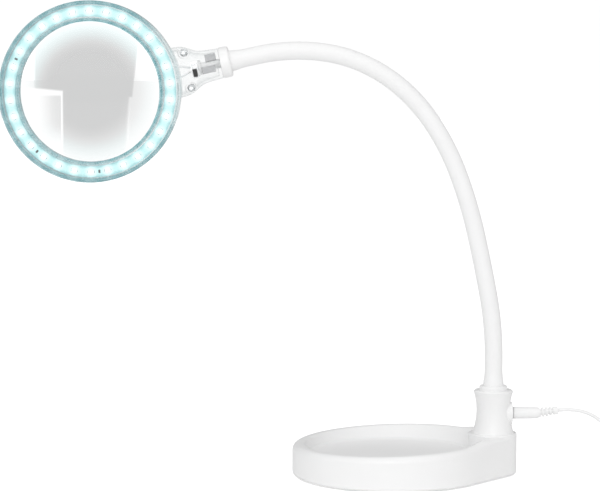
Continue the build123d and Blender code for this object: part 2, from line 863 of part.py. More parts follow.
with BuildPart() as usb_contact:
    with Locations((usb_x, usb_y - 9 - usb_body[1] - usb_shell[1] / 2, usb_body[2] / 2)):
        Box(*usb_shell)
        with Locations((0, -0.3, 0)):
            Box(usb_shell[0] - 0.7, usb_shell[1], usb_shell[2] - 0.7, mode=Mode.SUBTRACT)
        with Locations((0, 0.2, 0.9)):
            Box(usb_shell[0] - 0.9, usb_shell[1] - 1.0, 1.6)
save(usb_contact, "usb_contact")
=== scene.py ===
import json
import math

import bmesh
import bpy
from mathutils import Matrix, Vector


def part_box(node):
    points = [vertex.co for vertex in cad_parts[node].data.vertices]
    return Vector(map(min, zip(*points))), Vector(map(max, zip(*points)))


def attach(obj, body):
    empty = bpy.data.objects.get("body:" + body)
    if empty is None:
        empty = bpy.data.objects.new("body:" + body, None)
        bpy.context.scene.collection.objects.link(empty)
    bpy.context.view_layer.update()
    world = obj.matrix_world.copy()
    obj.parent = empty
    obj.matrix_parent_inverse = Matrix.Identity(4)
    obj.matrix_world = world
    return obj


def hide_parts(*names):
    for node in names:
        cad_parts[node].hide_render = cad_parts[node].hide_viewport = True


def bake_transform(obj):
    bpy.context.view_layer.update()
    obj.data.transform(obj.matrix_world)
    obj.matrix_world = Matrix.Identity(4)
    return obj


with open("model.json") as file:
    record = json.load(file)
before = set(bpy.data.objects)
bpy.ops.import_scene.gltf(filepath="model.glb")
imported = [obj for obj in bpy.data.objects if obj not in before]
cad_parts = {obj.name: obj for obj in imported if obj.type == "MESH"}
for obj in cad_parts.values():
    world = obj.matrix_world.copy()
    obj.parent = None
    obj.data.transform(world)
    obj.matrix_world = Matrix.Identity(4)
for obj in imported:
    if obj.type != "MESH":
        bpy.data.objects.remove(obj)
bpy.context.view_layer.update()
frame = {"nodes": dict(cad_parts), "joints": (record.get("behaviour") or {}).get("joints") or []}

bl_info = {
    "name": "Ring lamp finisher",
    "version": (1, 0, 0),
    "blender": (4, 5, 0),
    "location": "3D View > Sidebar > Ring lamp",
    "description": "Gives the ring magnifier lamp its sleeve, lead, lamps and finishes",
    "category": "Object",
}

# ---- places taken from the frame ----

joints = {joint["name"]: joint for joint in frame["joints"]}
neck_joints = [joint for joint in frame["joints"] if joint["name"].startswith("neck_")]
head_centre = Vector(joints["head_swivel"]["pos_m"])
handle_way = Vector(joints["head_swivel"]["axis"]).normalized()
side_way = Vector(joints["switch_slide"]["axis"]).normalized()
lit_way = handle_way.cross(side_way)
head_turn = Matrix((handle_way, side_way, lit_way)).transposed()
collar_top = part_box("neck_collar")[1].z
sleeve_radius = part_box("neck_sleeve_3")[1].y
sleeve_end_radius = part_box("neck_sleeve_0")[1].y
lens_radius = (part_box("lens")[1].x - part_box("lens")[0].x) / 2
ring_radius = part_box("front_shell")[1].z - head_centre.z
MM = 0.001
WHITE = (1.0, 1.0, 1.0, 1.0)


# ---- settings a user would change ----


class RingLampSizes(bpy.types.PropertyGroup):
    sleeve_radius: bpy.props.FloatProperty(
        name="Sleeve radius", description="Outer radius of the neck's soft sleeve",
        default=sleeve_radius, unit="LENGTH",
    )
    sleeve_wall: bpy.props.FloatProperty(
        name="Sleeve wall", description="Thickness of the neck's soft sleeve",
        default=0.6 * MM, unit="LENGTH",
    )
    flare_length: bpy.props.FloatProperty(
        name="Flare", description="Length over which the sleeve widens at each end",
        default=9 * MM, unit="LENGTH",
    )
    soft_zone: bpy.props.FloatProperty(
        name="Bending zone", description="Length on each side of a joint that bends with it",
        default=14 * MM, unit="LENGTH",
    )
    cord_diameter: bpy.props.FloatProperty(
        name="Lead diameter", description="Diameter of the lead",
        default=2.4 * MM, unit="LENGTH",
    )
    cord_length: bpy.props.FloatProperty(
        name="Lead length", description="Length of the lead from plug to plug",
        default=1.2, unit="LENGTH",
    )
    coil_radius: bpy.props.FloatProperty(
        name="Coil radius", description="Radius of the wound lead at the middle of its turns",
        default=13.5 * MM, unit="LENGTH",
    )
    lamp_count: bpy.props.IntProperty(
        name="Lamps", description="How many lamps stand round the lens", default=30,
    )
    lamp_circle: bpy.props.FloatProperty(
        name="Lamp circle", description="Radius of the circle that the lamps stand on",
        default=50.8 * MM, unit="LENGTH",
    )


class RingLampColours(bpy.types.PropertyGroup):
    white: bpy.props.FloatVectorProperty(
        name="Housing", description="Colour of the moulded housing",
        default=(0.9, 0.9, 0.9), subtype="COLOR",
    )
    sleeve: bpy.props.FloatVectorProperty(
        name="Sleeve", description="Colour of the neck's soft sleeve",
        default=(0.9, 0.9, 0.9), subtype="COLOR",
    )
    clear: bpy.props.FloatVectorProperty(
        name="Clear shell", description="Tint of the clear ring and handle",
        default=(0.93, 0.985, 0.985), subtype="COLOR",
    )
    # painted light: this colour is the painted glow round each lamp on the board and the lamp
    # packages
    glow: bpy.props.FloatVectorProperty(
        name="Glow", description="Colour of the light around each lamp",
        default=(0.485, 0.77, 0.775), subtype="COLOR",
    )
    # scales the lamps' own light and the painted glow on the board and the lamp packages
    glow_strength: bpy.props.FloatProperty(
        name="Glow strength", description="How brightly the lamps shine", default=1.0,
    )


# ---- node building ----


class Wire:
    """A node's output that takes part in Python arithmetic; each operator adds a Math node."""

    def __init__(self, net, socket):
        self.net = net
        self.socket = socket

    def __add__(self, other):
        return self.net.maths("ADD", self, other)

    __radd__ = __add__

    def __sub__(self, other):
        return self.net.maths("SUBTRACT", self, other)

    def __rsub__(self, other):
        return self.net.maths("SUBTRACT", other, self)

    def __mul__(self, other):
        return self.net.maths("MULTIPLY", self, other)

    __rmul__ = __mul__

    def __truediv__(self, other):
        return self.net.maths("DIVIDE", self, other)

    def __rtruediv__(self, other):
        return self.net.maths("DIVIDE", other, self)


class Net:
    """A node tree that is filled by short calls."""

    def __init__(self, tree):
        self.tree = tree

    def add(self, kind, settings=None, inputs=None, out=0):
        """Add one node: its settings first, then the values or wires of its sockets."""
        node = self.tree.nodes.new(kind)
        for key, value in (settings or {}).items():
            setattr(node, key, value)
        for key, value in (inputs or {}).items():
            if isinstance(value, Wire):
                self.tree.links.new(value.socket, node.inputs[key])
            else:
                node.inputs[key].default_value = value
        if not node.outputs:
            return None
        return Wire(self, node.outputs[out])

    def maths(self, operation, *values, clamp=False):
        settings = {"operation": operation, "use_clamp": clamp}
        return self.add("ShaderNodeMath", settings, dict(enumerate(values)))

    def mix(self, factor, first, second):
        """Mix two colours."""
        settings = {"data_type": "RGBA"}
        return self.add("ShaderNodeMix", settings, {0: factor, 6: first, 7: second}, out=2)

    def step(self, value, low, high):
        """A soft step from 0 at low to 1 at high."""
        settings = {"interpolation_type": "SMOOTHSTEP"}
        inputs = {"Value": value, "From Min": low, "From Max": high}
        return self.add("ShaderNodeMapRange", settings, inputs)

    def band(self, value, low, high, soft_low, soft_high):
        """1 between low and high, with an edge of its own softness at each end."""
        rising = self.step(value, low - soft_low, low + soft_low)
        return rising * (1 - self.step(value, high - soft_high, high + soft_high))

    def along(self, vector, way):
        """How far a vector reaches along a direction."""
        settings = {"operation": "DOT_PRODUCT"}
        return self.add("ShaderNodeVectorMath", settings, {0: vector, 1: way}, out="Value")

    def seen(self):
        """1 where the eye meets the surface straight or through glass, and 0 for its light."""
        direct = self.add("ShaderNodeLightPath", out="Is Camera Ray")
        through = self.add("ShaderNodeLightPath", out="Is Transmission Ray")
        return self.maths("MAXIMUM", direct, through)

    def noise(self, size, detail=2.0, stretch=None):
        """Cloudy values whose features are about size metres across."""
        place = self.add("ShaderNodeTexCoord", out="Object")
        if stretch:
            place = self.add("ShaderNodeMapping", inputs={"Vector": place, "Scale": stretch})
        inputs = {"Vector": place, "Scale": 1 / size, "Detail": detail}
        return self.add("ShaderNodeTexNoise", inputs=inputs)

    def bump(self, height, strength, depth):
        inputs = {"Height": height, "Strength": strength, "Distance": depth}
        return self.add("ShaderNodeBump", inputs=inputs)


def rgba(colour, share=1.0):
    return (colour[0] * share, colour[1] * share, colour[2] * share, 1.0)


def surface(name):
    """An empty material and its net."""
    material = bpy.data.materials.new(name)
    material.use_nodes = True
    material.node_tree.nodes.clear()
    return material, Net(material.node_tree)


def finish_surface(material, net, **inputs):
    """Close a material with one Principled shader; underscores stand for spaces."""
    named = {key.replace("_", " "): value for key, value in inputs.items()}
    shader = net.add("ShaderNodeBsdfPrincipled", inputs=named)
    net.add("ShaderNodeOutputMaterial", inputs={"Surface": shader})
    return material


# ---- finishes ----


def moulded(name, colour, grain=0.25 * MM, depth=0.006 * MM, low=0.3, high=0.42):
    """Injection-moulded plastic: fine spark texture and faint flow clouds."""
    material, net = surface(name)
    cloud = net.noise(26 * MM, 3.0)
    haze = net.noise(7 * MM, 2.0)
    fine = net.noise(grain, 2.0)
    tint = net.mix(cloud, rgba(colour, 0.975), rgba(colour, 1.0))
    rough = low + (high - low) * haze
    normal = net.bump(fine, 0.5, depth)
    return finish_surface(material, net, Base_Color=tint, Roughness=rough, Normal=normal)


def soft_sleeve(name, colour):
    """Silicone sleeve: satin, with a very fine skin."""
    material, net = surface(name)
    cloud = net.noise(18 * MM, 3.0)
    skin = net.noise(0.35 * MM, 3.0)
    drag = net.noise(1.6 * MM, 2.0)
    tint = net.mix(cloud, rgba(colour, 0.98), rgba(colour, 1.0))
    normal = net.bump(skin * 0.6 + drag * 0.4, 0.45, 0.012 * MM)
    rough = 0.44 + 0.1 * cloud
    return finish_surface(
        material, net, Base_Color=tint, Roughness=rough, Normal=normal, Specular_IOR_Level=0.4
    )


def clear_plastic(name, colour, edge):
    """Clear moulded plastic: see-through where thin. Its walls carry painted light and shade: a
    dark teal painted shade, with a lighter painted glow near each lamp.
    """
    material, net = surface(name)
    flow = net.noise(9 * MM, 2.0)
    haze = net.noise(3 * MM, 2.0)
    radius, along, ahead = head_polar(net)
    # painted shade and glow: outer picks the ring's outer wall, fainter towards the handle, and
    # inner the wall round the lens; both take the painted wall colour below and more opacity
    outer = net.step(radius, ring_radius - 3.4 * MM, ring_radius - 1.7 * MM)
    outer = outer * (1 - net.step(radius, ring_radius + 0.2 * MM, ring_radius + 0.8 * MM))
    outer = outer * (1 - 0.6 * net.step(ahead, 0.7, 0.97))
    inner = 1 - net.step(radius, lens_radius + 0.9 * MM, lens_radius + 2.6 * MM)
    wall = net.maths("MAXIMUM", outer, inner)
    # painted light: the walls are lighter near each lamp, a painted glow; elsewhere they take the
    # dark painted shade colour edge
    lit = 1 - net.step(along, 0.8 * MM, 4.6 * MM)
    glow = net.mix(lit, rgba(edge), (0.3, 0.58, 0.62, 1.0))
    # painted shade: where the surface is seen edge-on, its colour turns grey, a painted outline
    # shade
    facing = net.add("ShaderNodeLayerWeight", inputs={"Blend": 0.35}, out="Facing")
    grazing = facing * facing
    tint = net.mix(grazing, rgba(colour, 0.95), (0.42, 0.47, 0.48, 1.0))
    tint = net.mix(wall, tint, glow)
    solid = 0.05 + 0.04 * flow + 0.42 * grazing + 0.34 * outer
    solid = net.maths("ADD", solid, 0.38 * inner, clamp=True)
    normal = net.bump(flow, 0.25, 0.05 * MM)
    return finish_surface(
        material, net, Base_Color=tint, Roughness=0.06 + 0.05 * haze, Normal=normal,
        Alpha=solid, IOR=1.49,
    )


def lens_glass(name):
    """Ground lens: clean glass with the faintest haze from wiping."""
    material, net = surface(name)
    wipe = net.noise(12 * MM, 3.0, stretch=(1.0, 1.0, 3.0))
    tint = net.mix(wipe, (0.985, 0.995, 0.995, 1.0), (1.0, 1.0, 1.0, 1.0))
    rough = 0.004 * wipe
    return finish_surface(
        material, net, Base_Color=tint, Roughness=rough, Transmission_Weight=1.0, IOR=1.5,
        Specular_Tint=(0.1, 0.1, 0.1, 1.0),
    )


def head_polar(net):
    """Radius and distance from the nearest lamp about the lens, in metres; cosine to the handle."""
    sizes = bpy.context.scene.ring_lamp_sizes
    place = net.add("ShaderNodeTexCoord", out="Object")
    inputs = {0: place, 1: head_centre}
    offset = net.add("ShaderNodeVectorMath", {"operation": "SUBTRACT"}, inputs)
    u = net.along(offset, handle_way)
    v = net.along(offset, side_way)
    radius = net.maths("SQRT", u * u + v * v)
    pitch = math.tau / sizes.lamp_count
    angle = net.maths("ARCTAN2", v, u)
    # lamps stand half a pitch either side of the handle's own line
    away = net.maths("PINGPONG", angle + math.tau, pitch / 2)
    along = (pitch / 2 - away) * radius
    return radius, along, u / radius


def lamp_board(name, glow, strength):
    """White lamp board, drawn with painted light: a painted glow round each lamp, emitted, that
    fades to painted shade towards the board's edges and stays dim on its back; its base colour is a
    dark teal-grey.
    """
    sizes = bpy.context.scene.ring_lamp_sizes
    material, net = surface(name)
    radius, along, _ = head_polar(net)
    across = radius - sizes.lamp_circle
    far = net.maths("SQRT", along * along + across * across)
    # painted light: a bright painted halo round each lamp
    painted_lamp_halo = 1 - net.step(far, 1.2 * MM, 5.0 * MM)
    # painted shade: the painted glow dims away from the lamp circle, towards the board's edges
    edge = net.step(net.maths("ABSOLUTE", across), 1.0 * MM, 4.4 * MM)
    cloud = net.noise(5 * MM, 2.0)
    lit = net.mix(edge * 0.95, rgba(glow), (0.08, 0.33, 0.37, 1.0))
    lit = net.mix(cloud * 0.15, lit, rgba(glow, 0.75))
    lit = net.mix(painted_lamp_halo, lit, (0.8, 0.97, 0.98, 1.0))
    # painted shade: faces turned from the lit side keep only a dim painted glow
    front = net.along(net.add("ShaderNodeTexCoord", out="Normal"), lit_way)
    lit = net.mix(net.step(front, -0.6, 0.1), rgba(glow, 0.2), lit)
    mask = net.noise(0.4 * MM, 2.0)
    normal = net.bump(mask, 0.3, 0.01 * MM)
    # the base colour under the painted glow is a dark teal-grey
    return finish_surface(
        material, net, Base_Color=net.mix(cloud, (0.17, 0.24, 0.24, 1), (0.2, 0.28, 0.28, 1)),
        Roughness=0.35 + 0.1 * mask, Normal=normal, Emission_Color=lit, Emission_Strength=strength,
    )


def lamp_face(name, strength):
    """Lit phosphor of a lamp: white in the middle, cooler at its rim."""
    sizes = bpy.context.scene.ring_lamp_sizes
    material, net = surface(name)
    radius, along, _ = head_polar(net)
    across = radius - sizes.lamp_circle
    far = net.maths("SQRT", along * along + across * across)
    rim = net.step(far, 0.7 * MM, 1.7 * MM)
    grain = net.noise(0.2 * MM, 2.0)
    lit = net.mix(rim, (1.0, 1.0, 1.0, 1.0), (0.7, 1.0, 1.0, 1.0))
    normal = net.bump(grain, 0.3, 0.01 * MM)
    return finish_surface(
        material, net, Base_Color=net.mix(grain, (0.9, 0.85, 0.4, 1), (0.95, 0.9, 0.5, 1)),
        Roughness=0.4 + 0.1 * grain, Normal=normal, Emission_Color=lit, Emission_Strength=strength,
    )


def metal(name, colour, low=0.25, high=0.4, grain=0.3 * MM, depth=0.01 * MM, stretch=None):
    """Bare metal with fine machining marks."""
    material, net = surface(name)
    marks = net.noise(grain, 3.0, stretch=stretch)
    stain = net.noise(4 * MM, 2.0)
    tint = net.mix(stain, rgba(colour, 0.88), rgba(colour, 1.0))
    normal = net.bump(marks, 0.5, depth)
    return finish_surface(
        material, net, Base_Color=tint, Roughness=low + (high - low) * stain,
        Metallic=1.0, Normal=normal,
    )


def cast_iron(name):
    """Dark cast plate with a pitted skin."""
    material, net = surface(name)
    pits = net.noise(1.1 * MM, 4.0)
    rust = net.step(net.noise(9 * MM, 4.0), 0.58, 0.72)
    tint = net.mix(rust * 0.5, (0.09, 0.09, 0.095, 1.0), (0.2, 0.11, 0.07, 1.0))
    normal = net.bump(pits, 0.8, 0.12 * MM)
    return finish_surface(
        material, net, Base_Color=tint, Roughness=0.5 + 0.25 * pits,
        Metallic=1.0 - 0.6 * rust, Normal=normal,
    )


def foam(name):
    """Closed-cell foam pad: dark, matt and pricked with small cells."""
    material, net = surface(name)
    place = net.add("ShaderNodeTexCoord", out="Object")
    cells = net.add("ShaderNodeTexVoronoi", inputs={"Vector": place, "Scale": 1 / (0.8 * MM)})
    cloud = net.noise(15 * MM, 3.0)
    tint = net.mix(cloud, (0.045, 0.045, 0.048, 1.0), (0.065, 0.065, 0.068, 1.0))
    normal = net.bump(cells, 0.7, 0.15 * MM)
    rough = 0.82 + 0.1 * cells
    return finish_surface(material, net, Base_Color=tint, Roughness=rough, Normal=normal)


# ---- geometry helpers ----


def add_object(name, mesh):
    piece = bpy.data.objects.new(name, mesh)
    bpy.context.scene.collection.objects.link(piece)
    return piece


def bridge(bm, loops):
    """Join each closed loop of corners to the next one with faces."""
    for inner, outer in zip(loops, loops[1:]):
        for k in range(len(inner)):
            bm.faces.new((inner[k], outer[k], outer[k - 1], inner[k - 1]))


def finished_mesh(bm, name):
    """Keep what a bmesh holds as a mesh."""
    mesh = bpy.data.meshes.new(name)
    bm.to_mesh(mesh)
    bm.free()
    return mesh


def plain_mesh(piece, name):
    """Replace a piece by the plain mesh of what its modifiers make of it."""
    bpy.context.view_layer.update()
    depsgraph = bpy.context.evaluated_depsgraph_get()
    mesh = bpy.data.meshes.new_from_object(piece.evaluated_get(depsgraph), depsgraph=depsgraph)
    mesh.name = name
    piece.modifiers.clear()
    bpy.data.objects.remove(piece)
    return add_object(name, mesh)


def run_tree(piece, tree, name, **values):
    """Give a piece a Geometry Nodes tree with named inputs, and keep only its result."""
    modifier = piece.modifiers.new("Build", "NODES")
    modifier.node_group = tree
    wanted = {key.replace("_", " "): value for key, value in values.items()}
    for item in tree.interface.items_tree:
        if item.in_out == "INPUT" and item.name in wanted:
            modifier[item.identifier] = wanted[item.name]
    return plain_mesh(piece, name)


def new_tree(name, *inputs):
    """A Geometry Nodes tree with a geometry input and the named inputs."""
    tree = bpy.data.node_groups.new(name, "GeometryNodeTree")
    face = tree.interface
    face.new_socket("Geometry", in_out="INPUT", socket_type="NodeSocketGeometry")
    for label, kind in inputs:
        face.new_socket(label, in_out="INPUT", socket_type="NodeSocket" + kind)
    face.new_socket("Geometry", in_out="OUTPUT", socket_type="NodeSocketGeometry")
    return tree, Net(tree)


def tube_tree():
    """A round tube along a line of points; each point's width scales the tube."""
    tree, net = new_tree(
        "Tube along a line", ("Radius", "Float"), ("Sides", "Int"), ("Material", "Material")
    )
    line = net.add("GeometryNodeMeshToCurve", inputs={"Mesh": net.add("NodeGroupInput")})
    width = net.add(
        "GeometryNodeInputNamedAttribute", {"data_type": "FLOAT"}, {"Name": "width"}
    )
    inputs = {
        "Resolution": net.add("NodeGroupInput", out="Sides"),
        "Radius": net.add("NodeGroupInput", out="Radius"),
    }
    section = net.add("GeometryNodeCurvePrimitiveCircle", inputs=inputs)
    inputs = {"Curve": line, "Profile Curve": section, "Scale": width}
    tube = net.add("GeometryNodeCurveToMesh", inputs=inputs)
    tube = net.add("GeometryNodeSetShadeSmooth", inputs={"Geometry": tube})
    return close_tree(tree, net, tube)


def ring_tree():
    """Copies of one piece round a circle, then placed about the lens."""
    tree, net = new_tree(
        "Pieces round a circle", ("Piece", "Object"), ("Count", "Int"),
        ("Circle radius", "Float"), ("First angle", "Float"),
        ("Centre", "Vector"), ("Turn", "Rotation"), ("Material", "Material"),
    )
    count = net.add("NodeGroupInput", out="Count")
    circle = net.add("GeometryNodeMeshLine", inputs={"Count": count, "Offset": (0, 0, 0)})
    index = net.add("GeometryNodeInputIndex")
    angle = index * math.tau / count + net.add("NodeGroupInput", out="First angle")
    radius = net.add("NodeGroupInput", out="Circle radius")
    parts = {0: net.maths("COSINE", angle) * radius, 1: net.maths("SINE", angle) * radius}
    place = net.add("ShaderNodeCombineXYZ", inputs=parts)
    spin = net.add("ShaderNodeCombineXYZ", inputs={2: angle})
    points = net.add("GeometryNodeSetPosition", inputs={"Geometry": circle, "Position": place})
    source = net.add(
        "GeometryNodeObjectInfo", inputs={"Object": net.add("NodeGroupInput", out="Piece")},
        out="Geometry",
    )
    inputs = {"Points": points, "Instance": source, "Rotation": spin}
    copies = net.add("GeometryNodeInstanceOnPoints", inputs=inputs)
    inputs = {
        "Geometry": copies,
        "Translation": net.add("NodeGroupInput", out="Centre"),
        "Rotation": net.add("NodeGroupInput", out="Turn"),
    }
    return close_tree(tree, net, net.add("GeometryNodeTransform", inputs=inputs))


def close_tree(tree, net, shape):
    """End a tree in real geometry with its material."""
    shape = net.add("GeometryNodeRealizeInstances", inputs={"Geometry": shape})
    inputs = {"Geometry": shape, "Material": net.add("NodeGroupInput", out="Material")}
    shape = net.add("GeometryNodeSetMaterial", inputs=inputs)
    net.add("NodeGroupOutput", inputs={0: shape})
    return tree


# ---- the neck's line ----


def neck_arcs():
    """The neck as arcs through its joints: start, heading, turn and length of each."""
    places = [Vector(joint["pos_m"]) for joint in neck_joints]
    foot = Vector((places[0].x, 0, collar_top))
    heading = math.pi / 2
    arcs = []
    for start, stop in zip([foot] + places, places):
        chord = stop - start
        turn = 2 * ((math.atan2(chord.z, chord.x) - heading + math.pi) % math.tau - math.pi)
        if abs(turn) < 1e-4:
            turn = 0.0
        length = chord.length * (turn / 2 / math.sin(turn / 2) if turn else 1)
        arcs.append((start, heading, turn, length))
        heading += turn
    arcs.append((places[-1], heading, 0.0, arcs[0][3]))
    return arcs


def neck_point(arcs, at):
    """The point at a distance along the neck."""
    for number, (start, heading, turn, length) in enumerate(arcs):
        if at <= length or number == len(arcs) - 1:
            break
        at -= length
    if not turn:
        return start + at * Vector((math.cos(heading), 0, math.sin(heading)))
    bend = turn / length
    ahead = heading + bend * at
    return start + Vector(
        (math.sin(ahead) - math.sin(heading), 0, math.cos(heading) - math.cos(ahead))
    ) / bend


# ---- operators ----


class RINGLAMP_OT_stage(bpy.types.Operator):
    """Set the camera, the pale floor and the soft light"""

    bl_idname = "ringlamp.stage"
    bl_label = "Stage"

    def execute(self, context):
        camera = bpy.data.cameras.new("camera")
        camera.lens = 141.9
        camera.sensor_width = 36
        camera.clip_end = 50
        eye = bpy.data.objects.new("camera", camera)
        eye.location = (-0.05945, -1.5, 0.2855)
        eye.rotation_euler = (math.radians(84.747), 0, 0)
        context.scene.collection.objects.link(eye)
        context.scene.camera = eye
        context.scene.view_settings.view_transform = "Standard"
        self.world(context)
        self.floor()
        self.card()
        self.softbox("key", (-0.35, -2.2, 1.0), 1.4, 11)
        self.softbox("top", (-0.1, -0.2, 1.9), 1.2, 2)
        return {"FINISHED"}

    def world(self, context):
        """White behind the object; a little dimmer at the sides, where only the light counts."""
        world = bpy.data.worlds.new("studio")
        context.scene.world = world
        world.use_nodes = True
        world.node_tree.nodes.clear()
        net = Net(world.node_tree)
        way = net.add("ShaderNodeTexCoord", out="Generated")
        lit_side = (-0.1, -0.87, 0.48)
        front = net.along(way, lit_side)
        bright = 0.42 + 0.5 * net.step(front, -0.5, 0.9)
        seen = net.seen()
        strength = bright * (1 - seen) + 1.02 * seen
        sky = net.add("ShaderNodeBackground", inputs={"Color": WHITE, "Strength": strength})
        net.add("ShaderNodeOutputWorld", inputs={"Surface": sky})

    def floor(self):
        mesh = bpy.data.meshes.new("floor")
        half = 6.0
        corners = [(-half, -half, 0), (half, -half, 0), (half, half, 0), (-half, half, 0)]
        mesh.from_pydata(corners, [], [(0, 1, 2, 3)])
        plane = add_object("floor", mesh)
        plane.location.z = -0.0002
        material, net = surface("paper")
        fibre = net.noise(2 * MM, 3.0)
        tint = net.mix(fibre, rgba(WHITE, 0.84), rgba(WHITE, 0.86))
        glow = net.mix(net.seen(), rgba(WHITE, 0.12), rgba(WHITE, 0.6))
        finish_surface(
            material, net, Base_Color=tint, Roughness=0.9 + 0.05 * fibre, Specular_IOR_Level=0.0,
            Emission_Color=glow, Emission_Strength=1.0,
        )
        mesh.materials.append(material)

    def card(self):
        """A self-lit grey card behind the lens, seen only through it; it carries a pale painted
        haze, a cyan painted lamp glow towards its rim and a faint painted shade.
        """
        behind = 0.15
        mesh = bpy.data.meshes.new("card")
        half = 0.06
        mesh.from_pydata(
            [(-half, 0, -half), (half, 0, -half), (half, 0, half), (-half, 0, half)],
            [], [(0, 1, 2, 3)],
        )
        card = add_object("card", mesh)
        card.location = head_centre + Vector((-0.0133, behind, -0.004))
        material, net = surface("card")
        place = net.add("ShaderNodeTexCoord", out="Object")
        # places on the card count in radii of the round field seen through the lens
        field = lens_radius * 0.63
        x = net.add("ShaderNodeSeparateXYZ", inputs={0: place}, out="X") / field
        z = net.add("ShaderNodeSeparateXYZ", inputs={0: place}, out="Z") / field
        low = z + 0.1 * x
        right = x - 0.1 * z
        far = net.maths("SQRT", x * x + z * z)
        dome = 1 - net.step(far, 0.58, 1.3)
        upper = net.step(low, -0.05, -0.01)
        wide = net.step(x, -0.87, -0.79) * (1 - net.step(right, 0.61, 0.67)) * upper
        stem = (1 - net.step(z, 0.02, 0.06)) * net.step(x, -0.42, -0.39)
        stem = stem * (1 - net.step(right, 0.56, 0.64)) * (1 - net.step(far, 0.5, 1.15))
        # painted light: a pale painted haze beyond the edges of the T
        haze = net.maths("MAXIMUM", upper, net.step(x, 0.5, 0.6)) * (1 - net.step(far, 0.6, 1.05))
        # painted shade: a faint light-grey patch at the lower left
        faint = net.band(x, -0.64, -0.435, 0.18, 0.008) * net.band(z, -0.66, -0.06, 0.2, 0.02)
        shade = net.maths("MAXIMUM", wide, 0.6 * faint) * dome
        shade = net.maths("MAXIMUM", net.maths("MAXIMUM", shade, stem), 0.5 * haze)
        # painted light: the grey turns cyan towards the lens rim, a painted glow of the lamps
        grey_with_painted_glow = net.mix(net.step(far, 0.7, 1.0), rgba(WHITE, 0.64), (0.6, 0.76, 0.765, 1.0))
        # the card's grey is emission, so the card lights itself
        grey = net.add("ShaderNodeEmission", inputs={"Color": grey_with_painted_glow, "Strength": 1.0})
        clear = net.add("ShaderNodeBsdfTransparent")
        both = net.add("ShaderNodeMixShader", inputs={0: shade, 1: clear, 2: grey})
        net.add("ShaderNodeOutputMaterial", inputs={"Surface": both})
        mesh.materials.append(material)
        card.visible_camera = False
        card.visible_diffuse = False
        card.visible_glossy = False
        card.visible_shadow = False

    def softbox(self, name, place, size, power):
        light = bpy.data.lights.new(name, "AREA")
        light.size = size
        light.energy = power
        box = bpy.data.objects.new(name, light)
        box.location = place
        middle_of_lamp = Vector((-0.05, 0, 0.13))
        aim = middle_of_lamp - Vector(place)
        box.rotation_euler = aim.to_track_quat("-Z", "Y").to_euler()
        bpy.context.scene.collection.objects.link(box)


class RINGLAMP_OT_lead(bpy.types.Operator):
    """Lay the lead from the plug to its coil and its second plug"""

    bl_idname = "ringlamp.lead"
    bl_label = "Lead"

    def execute(self, context):
        sizes = context.scene.ring_lamp_sizes
        points = [(0.1057, 0, 0.04157), (0.1138, 0, 0.0426), (0.129, 0.0003, 0.0389)]
        points += [(0.1425, 0, 0.026), (0.1525, -0.0005, 0.0125), (0.162, -0.0007, 0.0084)]
        points += self.coil(sizes)
        points += [(0.1806, -0.0222, 0.0053), (0.1795, -0.0257, 0.00506), (0.1795, -0.0277, 0.0049)]
        curve = bpy.data.curves.new("lead_jacket", "CURVE")
        curve.dimensions = "3D"
        curve.bevel_depth = sizes.cord_diameter / 2
        curve.bevel_resolution = 4
        curve.use_fill_caps = True
        line = curve.splines.new("NURBS")
        line.points.add(len(points) - 1)
        for point, place in zip(line.points, points):
            point.co = (*place, 1)
        line.order_u = 3
        line.use_endpoint_u = True
        line.resolution_u = 6
        lead = add_object("lead_jacket", curve)
        curve.materials.append(finishes()["jacket"])
        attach(lead, "base")
        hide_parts("lead", "lead_coil")
        return {"FINISHED"}

    def coil(self, sizes):
        """The wound turns: each keeps its place in the bundle, then slips to the next."""
        across = sizes.cord_diameter
        row = across * math.sqrt(3) / 2
        centre = Vector((0.166, -0.014, across / 2))
        # place of each turn in the bundle: diameters outwards, rows up
        bundle = [
            (0, 3), (-1, 3), (-1.5, 2), (-1, 1), (-1.5, 0), (-0.5, 0), (0, 1),
            (-0.5, 2), (0.5, 2), (1, 3), (1, 1), (0.5, 0), (1.5, 0), (1.5, 2),
        ]
        steps = 15  # points in a turn
        slip_steps = 4  # points over which a turn slips to its place
        pitch = math.tau / steps
        swell = 2 / (1 + math.cos(pitch))
        start = math.radians(106.7)
        first = steps - round(start / pitch) + 1
        places = []
        for k in range(first, steps * len(bundle) + 1):
            turn, part = divmod(k, steps)
            out, up = bundle[min(turn, len(bundle) - 1)]
            if turn and turn < len(bundle) and part < slip_steps:
                slip = part / slip_steps
                slip = slip * slip * (3 - 2 * slip)
                old_out, old_up = bundle[turn - 1]
                out = old_out + (out - old_out) * slip
                up = old_up + (up - old_up) * slip
            angle = -k * pitch
            radius = (sizes.coil_radius + out * across) * swell
            places.append(
                (
                    centre.x + radius * math.cos(angle),
                    centre.y + radius * math.sin(angle),
                    centre.z + up * row,
                )
            )
        return places


